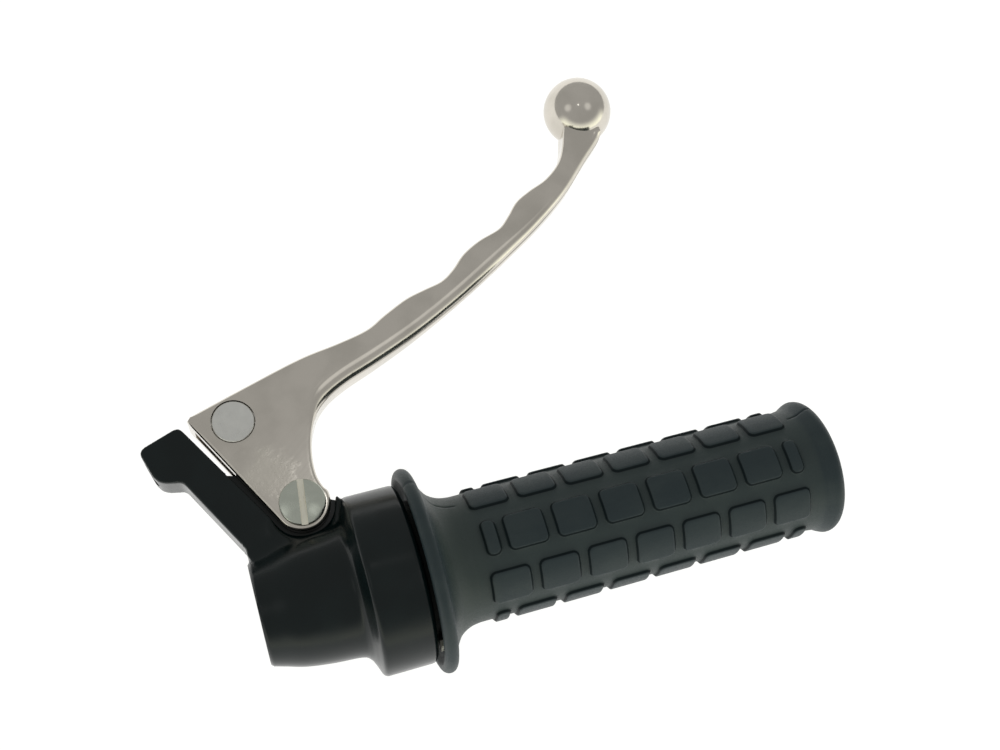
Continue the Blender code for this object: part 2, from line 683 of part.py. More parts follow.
def make_pivot_screw(steel):
    """Slotted screw with a low domed head; its tip stands out below the nut."""
    head, tip = HEAD_HALF + GAP, -HEAD_HALF - 7.0
    profile = [(tip, 0.0), (tip, M6_R - 0.4), (tip + 0.4, M6_R), (head, M6_R),
               (head, SCREW_HEAD_R), (head + 0.7, SCREW_HEAD_R), (head + 1.3, 4.9),
               (head + 1.8, 3.2), (head + 2.0, 1.4), (head + 2.0, 0.0)]
    turned = moved(turned_mesh(profile, 32, closed=False), (*PIVOT, 0.0), (0, 0, 1))
    screw = finish("pivot_screw", turned, steel)
    past_head = SCREW_HEAD_R + 2.0
    slot = box_mesh((PIVOT[0] - SCREW_SLOT_HALF, PIVOT[1] - past_head, head + 0.8),
                    (PIVOT[0] + SCREW_SLOT_HALF, PIVOT[1] + past_head, head + 4.0))
    cut(screw, tool("screw_slot", slot))
    return screw


def make_pivot_nut(steel):
    """Nut and lock washer under the lever's head."""
    washer_z = -HEAD_HALF - GAP - LOCK_WASHER_THICK
    nut_z = washer_z - GAP - PIVOT_NUT_HEIGHT
    washer = rod_mesh((*PIVOT, washer_z), (0, 0, 1), LOCK_WASHER_THICK, LOCK_WASHER_R, 32)
    nut = hex_mesh((*PIVOT, nut_z), (0, 0, 1), PIVOT_NUT_HEIGHT, M6_FLATS)
    pieces = [finish("pivot_lock_washer", washer, steel), finish("pivot_nut", nut, steel)]
    for piece in pieces:
        hole = rod_mesh((*PIVOT, nut_z - 2.0), (0, 0, 1), 10.0, M6_R + GAP)
        cut(piece, tool(f"{piece.name}_hole", hole))
    return pieces


def make_bush(brass):
    half = TONGUE_HALF + 0.1
    bush = moved(ring(-half, half, M6_R + GAP, BUSH_R, 32), (*PIVOT, 0.0), (0, 0, 1))
    return finish("pivot_bush", bush, brass)


def make_pin(steel):
    """Swivel pin that takes the brake cable's end, flush with both cheeks of the lever."""
    chamfer = 0.3
    profile = [(-HEAD_HALF, 0.0), (-HEAD_HALF, PIN_R - chamfer), (-HEAD_HALF + chamfer, PIN_R),
               (HEAD_HALF - chamfer, PIN_R), (HEAD_HALF, PIN_R - chamfer), (HEAD_HALF, 0.0)]
    turned = moved(turned_mesh(profile, 32, closed=False), (*PIN, 0.0), (0, 0, 1))
    pin = finish("cable_pin", turned, steel)
    start = (PIN[0] - 8.0 * CABLE_WAY[0], PIN[1] - 8.0 * CABLE_WAY[1], 0.0)
    cut(pin,
        tool("pin_wire_hole", rod_mesh(start, CABLE_WAY, 16.0, WIRE_R, 16)),
        tool("pin_nipple_hole", rod_mesh((*PIN, 0.0), CABLE_WAY, 8.0, NIPPLE_R, 20)))
    return pin


# ---------------------------------------------------------------- assembly

def hang_on(name, place, pieces):
    """Parent pieces to an empty on their joint's axis without moving them."""
    axis = new_object(name, None, parts)
    axis.location = Vector(place) * MM
    for piece in pieces:
        piece.parent = axis
        piece.matrix_parent_inverse = Matrix.Translation(axis.location).inverted()
    return axis


def main():
    paint = material("black_paint", (0.012, 0.016, 0.017), 0.3, 0.0)
    rubber = material("grip_rubber", (0.03, 0.036, 0.036), 0.6, 0.0)
    alloy = material("cast_aluminium", (0.52, 0.50, 0.47), 0.35, 1.0)
    zinc = material("zinc_steel", (0.6, 0.6, 0.56), 0.3, 1.0)
    pin_steel = material("pin_steel", (0.6, 0.6, 0.58), 0.45, 1.0)
    brass = material("brass", (0.62, 0.45, 0.18), 0.35, 1.0)
    make_housing(paint)
    make_clamp(zinc)
    make_cover(zinc)
    make_bush(brass)
    throttle = [make_tube(zinc), make_drum(alloy), make_grip(rubber)]
    throttle += make_drum_pins(zinc) + make_washers(zinc)
    lever = [make_lever(alloy), make_pivot_screw(zinc)] + make_pivot_nut(zinc)
    pin = make_pin(pin_steel)
    hang_on("throttle_axis", (GROOVE_X, 0.0, 0.0), throttle)
    lever_axis = hang_on("lever_axis", (*PIVOT, 0.0), lever)
    pin_axis = hang_on("pin_axis", (*PIN, 0.0), [pin])
    pin_axis.parent = lever_axis
    pin_axis.matrix_parent_inverse = Matrix.Translation(lever_axis.location).inverted()


clear_scene()
parts = new_collection("throttle_grip")
cutters = new_collection("cutters")
main()
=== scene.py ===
"""Looks of the moped throttle: lever, housing, rubber grip and fasteners on the CAD frame.

Sizes are in millimetres in the CAD's frame: X along the handlebar, Y forward to the lever
and Z up. Each helper turns them into metres as it makes a mesh.
"""

import json
from math import acos, atan2, cos, degrees, hypot, pi, radians, sin

import bmesh
import bpy
import numpy as np
from mathutils import Matrix, Vector
from mathutils.geometry import delaunay_2d_cdt


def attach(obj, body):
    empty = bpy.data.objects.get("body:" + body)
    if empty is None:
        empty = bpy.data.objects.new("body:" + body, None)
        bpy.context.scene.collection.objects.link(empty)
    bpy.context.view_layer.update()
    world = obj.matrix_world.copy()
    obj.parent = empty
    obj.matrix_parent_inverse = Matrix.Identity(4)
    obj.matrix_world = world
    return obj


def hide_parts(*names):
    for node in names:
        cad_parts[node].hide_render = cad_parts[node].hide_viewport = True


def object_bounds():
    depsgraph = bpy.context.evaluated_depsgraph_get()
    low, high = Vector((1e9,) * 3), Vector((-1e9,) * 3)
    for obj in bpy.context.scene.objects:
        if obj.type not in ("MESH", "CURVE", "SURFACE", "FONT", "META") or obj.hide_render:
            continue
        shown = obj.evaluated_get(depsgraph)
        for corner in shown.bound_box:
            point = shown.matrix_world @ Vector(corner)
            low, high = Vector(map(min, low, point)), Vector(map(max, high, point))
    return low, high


MM = 0.001
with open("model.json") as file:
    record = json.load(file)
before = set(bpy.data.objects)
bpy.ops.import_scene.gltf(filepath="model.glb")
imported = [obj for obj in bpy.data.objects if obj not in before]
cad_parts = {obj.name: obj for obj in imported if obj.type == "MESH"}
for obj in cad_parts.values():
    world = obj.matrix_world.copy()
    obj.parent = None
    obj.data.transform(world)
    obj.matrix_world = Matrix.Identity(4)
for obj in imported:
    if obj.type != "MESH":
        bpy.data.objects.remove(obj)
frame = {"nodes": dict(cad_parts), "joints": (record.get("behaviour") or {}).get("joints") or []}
cad_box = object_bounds()
joints = {joint["name"]: joint for joint in frame["joints"]}
PIVOT = tuple(value / MM for value in joints["lever_squeeze"]["pos_m"][:2])
PIN = tuple(value / MM for value in joints["pin_swivel"]["pos_m"][:2])

# Camera and studio
CAMERA_PLACE = (2.2, -41.1, 337.0)
CAMERA_AZIMUTH = -40.8          # degrees round from the -Y side towards +X
CAMERA_ELEVATION = 71.12
CAMERA_ROLL = 25.7
LENS = 46.8
SENSOR = 36.0
SKY_LEVEL = 0.46
SKY_SIDE_LEVEL = 1.2            # what the low side towards -Y adds
SKY_TINT = (1.0, 1.0, 0.985)
SKY_SIDE_TINT = (1.0, 1.02, 0.87)
SKY_SPOTS = (                   # direction, outer and inner half-angle in degrees, level
    ((-0.694, 0.007, 0.72), 15.0, 4.0, 0.35),
    ((0.38, -0.233, 0.895), 15.0, 4.0, 0.35))
LAMP_PLACE = (63.0, 100.0, 400.0)
LAMP_SIZE = 12.0
LAMP_WATTS = 0.004
FLOOR_HALF = 3000.0
FLOOR_GAP = 0.2                 # between the floor and the part's lowest point
FLOOR_COLOR = (0.2, 0.2, 0.197)
FLOOR_GLOW = (0.96, 0.96, 0.945)

# Housing
BORE_R = 11.2
BARREL_END_R = 13.4
COLLAR_R = 23.5
COLLAR_X0 = 26.4
COLLAR_X1 = 40.7
CHAMBER_R = 21.4
CHAMBER_X0 = 27.0
POCKET_R = 8.4
ARM_HALF = 6.5
TONGUE_HALF = 2.4
ARM_CORNER = (-8.0, 49.8)
CABLE_WAY = (cos(radians(17.0)), sin(radians(17.0)), 0.0)
SOCKET_FACE = (-18.5, 42.0)
SOCKET_R = 3.6
OUTLET = (32.6, 14.7)
OUTLET_END = -30.0
OUTLET_R = 5.3
CLAMP_X = 10.0
CLAMP_BOSS_Z = -20.5
CLAMP_BOSS_R = 6.2
POST_TOP = -12.0                # where the outlet and the boss start, inside the casting
BUSH_HOLE_R = 4.3
CAST_VOXEL = 0.42
CAST_FILLET_ROUNDS = 7
ARM_FILLET_ROUNDS = 240

# Fasteners and cable holes
SCREW_R = 3.0
SCREW_HOLE_R = 3.3
NUT_HOLE_R = 3.25
HEX_FLATS = 10.0
WIRE_R = 1.5

# Lever
SLOT_HALF = 2.9
HEAD_HALF = 6.5
HEAD_R = 7.2
BLADE_HALF = 4.4
LEVER_CORNER = (-6.4, 51.9)
PIN_R = 5.5
SLOT_TURN = -7.0                # the pivot screw's slot, degrees from the Y axis
BALL = (122.6, 118.6)
BALL_R = 9.9
LIP_HEIGHT = 0.5                # how far the blade rises where it meets the ball

# Rubber grip
GRIP_R = 16.75
GRIP_END = 156.4
GRIP_BORE_R = 12.6
GRIP_BORE_END = GRIP_END - 4.8
GRID_START = 54.5               # first line of the grid along the grip's body
GRID_SPACING = 0.9
GRID_LINES = 103
BLOCK_ROWS = 8
ROW_ANGLE = 360.0 / BLOCK_ROWS
BLOCKS_IN_ROW = 7
BLOCK_FIRST_ROW = 84.8          # angle of the first row from +Y, degrees
BLOCK_HEIGHT = 1.0
BLOCK_TOP_HALF = 13.5           # half the angle of a block's top, degrees
BLOCK_SLOPE = 1.0               # how far a block's sides spread from top to foot
BLOCK_CORNER = 1.0
BLOCK_LEN = 9.3
BLOCK_PITCH = 13.0
BLOCK_START = 57.5
SHORT_BLOCK_START = 58.2
SHORT_BLOCK = 2.6
SHORT_BLOCK_GAP = 3.3
FLANGE_FACE = 44.0
RIM_X = 43.2
RIM_R = 1.85
RIM_CENTRE_R = 25.2
MOULD_LINE = 42.5               # angle of the mould's parting line from +Y
MOULD_LINE_HALF = 1.1           # half its width, degrees
MOULD_LINE_DEPTH = 0.22


# ---------------------------------------------------------------- mesh helpers

def mesh_object(name, points, faces):
    """A smooth-shaded object from points in millimetres."""
    mesh = bpy.data.meshes.new(name)
    mesh.from_pydata([tuple(float(value) * MM for value in point) for point in points], [],
                     [tuple(int(i) for i in face) for face in faces])
    edit = bmesh.new()
    edit.from_mesh(mesh)
    bmesh.ops.recalc_face_normals(edit, faces=edit.faces)
    edit.to_mesh(mesh)
    edit.free()
    mesh.shade_smooth()
    made = bpy.data.objects.new(name, mesh)
    bpy.context.scene.collection.objects.link(made)
    return made


def turned(name, profile, steps=96, closed=False):
    """A shape turned about X from (x, radius) points; one on the axis becomes a cap."""
    points, faces, rows = [], [], []
    for x, radius in profile:
        if radius < 1e-6:
            rows.append([len(points)] * steps)
            points.append((x, 0.0, 0.0))
            continue
        rows.append(list(range(len(points), len(points) + steps)))
        points += [(x, *around(radius, 360.0 * i / steps)) for i in range(steps)]
    pairs = list(zip(rows, rows[1:]))
    if closed:
        pairs.append((rows[-1], rows[0]))
    for one, two in pairs:
        for i in range(steps):
            j = (i + 1) % steps
            corners = [one[i], one[j], two[j], two[i]]
            faces.append(list(dict.fromkeys(corners)))
    return mesh_object(name, points, [face for face in faces if len(face) > 2])


def around(radius, angle):
    """Y and Z of a point round the handlebar; 0 degrees is +Y and 90 degrees is +Z."""
    return radius * cos(radians(angle)), radius * sin(radians(angle))


def place(made, spot, direction):
    """Take an object made along +X from the origin to a spot and a direction."""
    turn = Vector((1.0, 0.0, 0.0)).rotation_difference(Vector(direction).normalized())
    made.data.transform(Matrix.Translation(Vector(spot) * MM) @ turn.to_matrix().to_4x4())
    return made


def rod(name, spot, direction, length, radius, steps=64):
    profile = [(0.0, 0.0), (0.0, radius), (length, radius), (length, 0.0)]
    return place(turned(name, profile, steps), spot, direction)


def plate(name, outline, low, high):
    """A flat outline in the XY plane, thick from one height to another."""
    count = len(outline)
    points = [(x, y, low) for x, y in outline] + [(x, y, high) for x, y in outline]
    faces = [list(range(count)), list(range(count, 2 * count))]
    faces += [[i, (i + 1) % count, count + (i + 1) % count, count + i] for i in range(count)]
    return mesh_object(name, points, faces)


def apply_modifiers(made):
    bpy.context.view_layer.update()
    graph = bpy.context.evaluated_depsgraph_get()
    mesh = bpy.data.meshes.new_from_object(made.evaluated_get(graph))
    made.modifiers.clear()
    made.data = mesh


def combine(made, others, operation):
    """Join or cut an object with others, which go away afterwards."""
    for other in others:
        step = made.modifiers.new(other.name, "BOOLEAN")
        step.operation = operation
        step.solver = "EXACT"
        step.object = other
    apply_modifiers(made)
    for other in others:
        bpy.data.objects.remove(other)


def round_edges(made, width, segments, angle=50.0):
    bevel = made.modifiers.new("rounding", "BEVEL")
    bevel.width = width * MM
    bevel.segments = segments
    bevel.limit_method = "ANGLE"
    bevel.angle_limit = radians(angle)
    apply_modifiers(made)


def shade(made, angle):
    """Smooth shading, with sharp edges over an angle in degrees."""
    made.data.shade_smooth()
    made.data.set_sharp_from_angle(angle=radians(angle))


def smooth_curve(points, steps=8):
    """Points along a smooth curve through the given ones (Catmull-Rom)."""
    last = len(points) - 1
    result = []
    for i in range(last):
        a, b = points[max(i - 1, 0)], points[i]
        c, d = points[i + 1], points[min(i + 2, last)]
        for j in range(steps):
            t = j / steps
            result.append(tuple(
                0.5 * (2 * b[k] + (c[k] - a[k]) * t
                       + (2 * a[k] - 5 * b[k] + 4 * c[k] - d[k]) * t * t
                       + (3 * b[k] - a[k] - 3 * c[k] + d[k]) * t ** 3) for k in (0, 1)))
    return result + [points[-1]]


def arc(centre, radius, start, end, count):
    """Points along an arc; angles in degrees, both ends included."""
    turns = [radians(start + (end - start) * i / (count - 1)) for i in range(count)]
    return [(centre[0] + radius * cos(a), centre[1] + radius * sin(a)) for a in turns]


def tangent_angle(point, centre, radius, side):
    """Angle, in degrees, at which a line from a point touches a circle."""
    dx, dy = point[0] - centre[0], point[1] - centre[1]
    return degrees(atan2(dy, dx) + side * acos(radius / hypot(dx, dy)))


def evenly_spaced(outline, spacing):
    """The same closed outline with its points a set distance apart."""
    points = np.array(outline + [outline[0]])
    lengths = np.concatenate([[0.0], np.cumsum(np.hypot(*np.diff(points, axis=0).T))])
    wanted = np.linspace(0.0, lengths[-1], int(lengths[-1] / spacing), endpoint=False)
    return np.stack([np.interp(wanted, lengths, points[:, k]) for k in (0, 1)], axis=1)


def ease(value, start, end):
    """0 before start, 1 after end, and a smooth step between them."""
    share = np.clip((value - start) / (end - start), 0.0, 1.0)
    return share * share * (3 - 2 * share)


# ---------------------------------------------------------------- material helpers

class NodeMaker:
    """Short ways to add and link shader nodes in one node tree."""

    def __init__(self, tree):
        self.nodes = tree.nodes
        self.links = tree.links

    def node(self, kind, **inputs):
        made = self.nodes.new(kind)
        for socket, value in inputs.items():
            self.feed(value, made.inputs[socket.replace("_", " ")])
        return made

    def feed(self, value, socket):
        if isinstance(value, bpy.types.NodeSocket):
            self.links.new(value, socket)
        else:
            socket.default_value = value

    def math(self, operation, one, two=0.0):
        made = self.nodes.new("ShaderNodeMath")
        made.operation = operation
        self.feed(one, made.inputs[0])
        self.feed(two, made.inputs[1])
        return made.outputs["Value"]

    def vector_math(self, operation, one, two):
        """DISTANCE or DOT_PRODUCT of two vectors."""
        made = self.nodes.new("ShaderNodeVectorMath")
        made.operation = operation
        self.feed(one, made.inputs[0])
        self.feed(two, made.inputs[1])
        return made.outputs["Value"]

    def ranged(self, value, low, high, to_low=0.0, to_high=1.0):
        made = self.nodes.new("ShaderNodeMapRange")
        made.interpolation_type = "SMOOTHSTEP"
        self.feed(value, made.inputs["Value"])
        for socket, number in (("From Min", low), ("From Max", high),
                               ("To Min", to_low), ("To Max", to_high)):
            self.feed(number, made.inputs[socket])
        return made.outputs["Result"]

    def mix_color(self, share, one, two):
        made = self.nodes.new("ShaderNodeMix")
        made.data_type = "RGBA"
        self.feed(share, made.inputs["Factor"])
        for socket, color in ((made.inputs[6], one), (made.inputs[7], two)):
            self.feed(color if isinstance(color, bpy.types.NodeSocket) else (*color, 1.0), socket)
        return made.outputs[2]


class Surface(NodeMaker):
    """A Principled material whose detail comes from nodes in object coordinates."""

    def __init__(self, name, color, roughness, metallic=0.0, **settings):
        self.material = bpy.data.materials.new(name)
        self.material.use_nodes = True
        self.material.diffuse_color = (*color, 1.0)
        super().__init__(self.material.node_tree)
        self.shader = self.nodes["Principled BSDF"]
        self.shader.inputs["Base Color"].default_value = (*color, 1.0)
        self.shader.inputs["Roughness"].default_value = roughness
        self.shader.inputs["Metallic"].default_value = metallic
        for socket, value in settings.items():
            self.shader.inputs[socket.replace("_", " ")].default_value = value
        self.height = None

    def where(self, scale, turn=0.0):
        """Object coordinates in millimetres, turned about Z and stretched."""
        place_in = self.node("ShaderNodeTexCoord").outputs["Object"]
        mapping = self.node("ShaderNodeMapping", Vector=place_in)
        mapping.vector_type = "TEXTURE"
        mapping.inputs["Rotation"].default_value = (0.0, 0.0, radians(turn))
        mapping.inputs["Scale"].default_value = tuple(value * MM for value in scale)
        return mapping.outputs["Vector"]

    def along_and_out(self):
        """Place along the X axis and distance from it, in metres."""
        parts = self.node("ShaderNodeSeparateXYZ",
                          Vector=self.node("ShaderNodeTexCoord").outputs["Object"]).outputs
        across = self.math("ADD", self.math("POWER", parts["Y"], 2.0),
                           self.math("POWER", parts["Z"], 2.0))
        return parts["X"], self.math("SQRT", across)

    def noise(self, scale, turn=0.0, detail=3.0):
        made = self.node("ShaderNodeTexNoise", Vector=self.where(scale, turn), Scale=1.0,
                         Detail=detail)
        return made.outputs["Fac"]

    def add_height(self, value, amount):
        """Relief in millimetres, added to what is there already."""
        scaled = self.math("MULTIPLY", value, amount)
        self.height = self.math("ADD", self.height, scaled) if self.height else scaled

    def finish(self):
        if self.height:
            bump = self.node("ShaderNodeBump", Height=self.height, Distance=MM, Strength=1.0)
            self.links.new(bump.outputs["Normal"], self.shader.inputs["Normal"])
        return self.material


def painted_casting():
    """Satin black-green paint over cast metal: orange peel and soft patches in its sheen."""
    skin = Surface("black_paint_coat", (0.0022, 0.0070, 0.0073), 0.23, IOR=1.36)
    patches = skin.noise((9.0, 9.0, 9.0), detail=2.0)
    skin.feed(skin.ranged(patches, 0.3, 0.7, 0.20, 0.27), skin.shader.inputs["Roughness"])
    tint = skin.mix_color(skin.ranged(patches, 0.35, 0.65), (0.0018, 0.0062, 0.0064),
                          (0.0026, 0.0080, 0.0082))
    skin.feed(tint, skin.shader.inputs["Base Color"])
    skin.add_height(skin.noise((0.9, 0.9, 0.9), detail=1.0), 0.006)
    skin.add_height(skin.noise((5.0, 5.0, 5.0), detail=1.0), 0.03)
    return skin.finish()


def moulded_rubber():
    """Dark grey-green rubber: matt grain, a paler ground, a painted highlight on the flare, and
    painted shade on the block walls and in crevices.
    """
    skin = Surface("moulded_rubber", (0.030, 0.050, 0.055), 0.5, IOR=1.42)
    patches = skin.noise((14.0, 8.0, 8.0), detail=3.0)
    tint = skin.mix_color(skin.ranged(patches, 0.35, 0.7), (0.016, 0.030, 0.034),
                          (0.024, 0.039, 0.041))
    along, out = skin.along_and_out()
    # painted highlight: the flare's rubber is painted paler to stand for the light on it
    flare = skin.math("MULTIPLY", skin.ranged(along, 45.0 * MM, 47.5 * MM),
                      skin.ranged(along, 54.0 * MM, 60.0 * MM, 1.0, 0.0))
    tint = skin.mix_color(flare, tint, (0.036, 0.052, 0.047))
    ground = skin.ranged(out, (GRIP_R + 0.1) * MM, (GRIP_R + 0.5) * MM, 1.0, 0.0)
    tint = skin.mix_color(skin.math("MULTIPLY", ground, 0.6), tint, (0.034, 0.050, 0.047))
    on_body = skin.math("MULTIPLY", skin.ranged(along, 55.5 * MM, 56.5 * MM),
                        skin.ranged(along, 148.0 * MM, 149.0 * MM, 1.0, 0.0))
    # painted shade: the block walls and, through ambient occlusion, the crevices are painted near
    # black
    wall = skin.math("MULTIPLY", skin.ranged(out, (GRIP_R + 0.15) * MM, (GRIP_R + 0.35) * MM),
                     skin.ranged(out, (GRIP_R + 0.7) * MM, (GRIP_R + 0.95) * MM, 1.0, 0.0))
    crevice = skin.node("ShaderNodeAmbientOcclusion", Distance=2.5 * MM).outputs["AO"]
    painted_shade_mask = skin.math("MAXIMUM", skin.math("MULTIPLY", wall, on_body),
                         skin.ranged(crevice, 0.65, 0.97, 1.0, 0.0))
    # painted shade: the mask mixes the rubber towards near black and lowers its gloss
    tint = skin.mix_color(skin.math("MULTIPLY", painted_shade_mask, 0.75), tint, (0.003, 0.006, 0.007))
    skin.feed(skin.ranged(painted_shade_mask, 0.0, 1.0, 0.5, 0.12),
              skin.shader.inputs["Specular IOR Level"])
    skin.feed(tint, skin.shader.inputs["Base Color"])
    grain = skin.noise((0.35, 0.35, 0.35), detail=2.0)
    skin.feed(skin.ranged(grain, 0.3, 0.7, 0.42, 0.58), skin.shader.inputs["Roughness"])
    skin.add_height(grain, 0.02)
    return skin.finish()


def polished_alloy():
    """Hand-polished casting: streaks along the lever, a rough patch and pits by the pivot."""
    skin = Surface("polished_alloy", (0.64, 0.61, 0.55), 0.15, 1.0)
    streaks = skin.noise((30.0, 0.5, 0.5), turn=38.0, detail=4.0)
    clouds = skin.noise((12.0, 12.0, 12.0), detail=3.0)
    where = skin.node("ShaderNodeTexCoord").outputs["Object"]
    apart = skin.vector_math("DISTANCE", where, (10.5 * MM, 33.5 * MM, HEAD_HALF * MM))
    wobble = skin.math("MULTIPLY", skin.noise((3.0, 3.0, 3.0), detail=3.0), 9.0 * MM)
    reach = skin.math("ADD", apart, wobble)
    patch = skin.ranged(reach, 7.0 * MM, 13.0 * MM, 1.0, 0.0)
    rough = skin.math("ADD", skin.ranged(streaks, 0.3, 0.7, 0.12, 0.17),
                      skin.math("MULTIPLY", patch, 0.16))
    skin.feed(rough, skin.shader.inputs["Roughness"])
    tone = skin.mix_color(skin.ranged(clouds, 0.35, 0.65), (0.60, 0.565, 0.505),
                          (0.68, 0.64, 0.575))
    tone = skin.mix_color(skin.math("MULTIPLY", patch, 0.6), tone, (0.74, 0.70, 0.62))
    skin.feed(tone, skin.shader.inputs["Base Color"])
    pits = skin.node("ShaderNodeTexVoronoi", Vector=skin.where((1.7, 1.7, 1.7)), Scale=1.0,
                     Randomness=1.0)
    pit = skin.ranged(pits.outputs["Distance"], 0.05, 0.22, 1.0, 0.0)
    pit = skin.math("MULTIPLY", pit, skin.math("MULTIPLY", patch, -1.0))
    skin.add_height(pit, 0.12)
    skin.add_height(streaks, 0.002)
    skin.add_height(clouds, 0.04)
    skin.add_height(skin.math("MULTIPLY", skin.noise((1.2, 1.2, 1.2), detail=3.0), patch), 0.10)
    return skin.finish()


def zinc_plate(name="zinc_plate", color=(0.53, 0.56, 0.49), roughness=0.22, grain=0.01):
    """Bright zinc plating with fine turning marks and cloudy patches."""
    skin = Surface(name, color, roughness, 1.0)
    clouds = skin.noise((2.5, 2.5, 2.5), detail=3.0)
    skin.feed(skin.ranged(clouds, 0.3, 0.7, roughness - 0.06, roughness + 0.08),
              skin.shader.inputs["Roughness"])
    paler = tuple(min(1.0, value * 1.12) for value in color)
    darker = tuple(value * 0.9 for value in color)
    skin.feed(skin.mix_color(clouds, darker, paler), skin.shader.inputs["Base Color"])
    skin.add_height(skin.noise((0.4, 0.4, 0.4), detail=2.0), grain)
    return skin.finish()


# ---------------------------------------------------------------- housing

def barrel_profile():
    """Outside of the barrel and collar with its fillet, from the open end outboard."""
    edge = 1.5
    barrel = smooth_curve([(0.6, BARREL_END_R), (3.5, 14.25), (8.3, 15.65), (15.0, 16.65),
                           (22.4, 17.25), (24.5, 18.3), (25.6, 20.2), (26.3, 22.0)], steps=6)
    profile = [(0.0, 0.0), (0.0, BARREL_END_R - 0.7), (0.2, BARREL_END_R - 0.3)] + barrel
    profile += arc((COLLAR_X0 + edge, COLLAR_R - edge), edge, 165, 90, 6)
    profile += arc((COLLAR_X1 - edge, COLLAR_R - edge), edge, 90, 0, 8)
    return profile + [(COLLAR_X1, 0.0)]


def arm_outline():
    """Cable abutment, straight arm and the wall round the lever's head."""
    touch = tangent_angle(ARM_CORNER, PIVOT, POCKET_R, +1)
    outline = [(1.2, 12.6), (0.5, 14.4), (0.5, 16.2)]
    outline += arc((-12.2, 34.8), 2.1, 30, 95, 8)
    outline += smooth_curve([(-14.8, 37.4), (-16.5, 38.3), (-17.7, 40.0)], steps=4)
    outline += smooth_curve([(-19.5, 46.0), (-19.2, 47.2), (-18.1, 48.0)], steps=4)
    outline += smooth_curve([(-9.9, 50.8), (-8.8, 50.7), ARM_CORNER], steps=4)
    outline += arc(PIVOT, POCKET_R, touch, 357, 40)
    return outline + [(26.3, 23.6), (26.3, 12.4)]


def tongue_outline():
    """Thin tongue of the arm inside the lever's fork."""
    outline = [(-3.0, 34.0), (-0.9, 36.8), (7.0, 34.4)]
    outline += arc(PIVOT, HEAD_R - 0.3, 105, 0, 30)
    return outline + [(26.0, 23.0), (26.0, 14.2), (8.0, 14.2)]


def turned_radius(points, profile):
    """Each point's own distance from the X axis, and the profile's radius beside it."""
    outside = np.array([spot for spot in profile if spot[1] > 0])
    order = np.argsort(outside[:, 0], kind="stable")
    wanted = np.interp(points[:, 0], outside[order, 0], outside[order, 1])
    return np.hypot(points[:, 1], points[:, 2]), wanted


def mesh_points(made):
    """An object's points in millimetres, as an array."""
    points = np.empty(len(made.data.vertices) * 3)
    made.data.vertices.foreach_get("co", points)
    return points.reshape(-1, 3) / MM


def blend_arm(made, profile):
    """Widen the fillet where the arm's flat faces run into the barrel."""
    points = mesh_points(made)
    radius, wanted = turned_radius(points, profile)
    apart = np.hypot(np.abs(points[:, 2]) - ARM_HALF, radius - wanted)
    share = (1 - ease(apart, 3.5, 7.5)) * ease(points[:, 1], 6.0, 10.0)
    share *= ease(points[:, 0], 1.0, 5.0) * (1 - ease(points[:, 0], 21.0, 25.0))
    group = made.vertex_groups.new(name="junction")
    for index in np.nonzero(share > 0.01)[0]:
        group.add([int(index)], float(share[index]), "REPLACE")
    fillet = made.modifiers.new("arm_fillet", "SMOOTH")
    fillet.factor = 0.5
    fillet.iterations = ARM_FILLET_ROUNDS
    fillet.vertex_group = group.name
    apply_modifiers(made)
    made.vertex_groups.clear()


def even_out(made, profile):
    """Lay the casting's points exactly on its turned and flat faces again."""
    points = mesh_points(made)
    radius, wanted = turned_radius(points, profile)
    inside = (points[:, 0] > 0.6) & (points[:, 0] < COLLAR_X1 - 0.6)
    share = (1 - ease(np.abs(radius - wanted), 0.12, 0.4)) * inside
    points[:, 1:] *= (1 + share * (wanted / np.maximum(radius, 1.0) - 1))[:, None]
    apart = np.abs(np.abs(points[:, 2]) - ARM_HALF)
    flat = (1 - ease(apart, 0.08, 0.3)) * (points[:, 1] > 15.0) * (radius > wanted + 0.8)
    points[:, 2] += flat * (np.sign(points[:, 2]) * ARM_HALF - points[:, 2])
    for end in (0.0, COLLAR_X1):
        share = 1 - ease(np.abs(points[:, 0] - end), 0.08, 0.3)
        points[:, 0] += share * (end - points[:, 0])
    made.data.vertices.foreach_set("co", (points * MM).ravel())
    made.data.update()


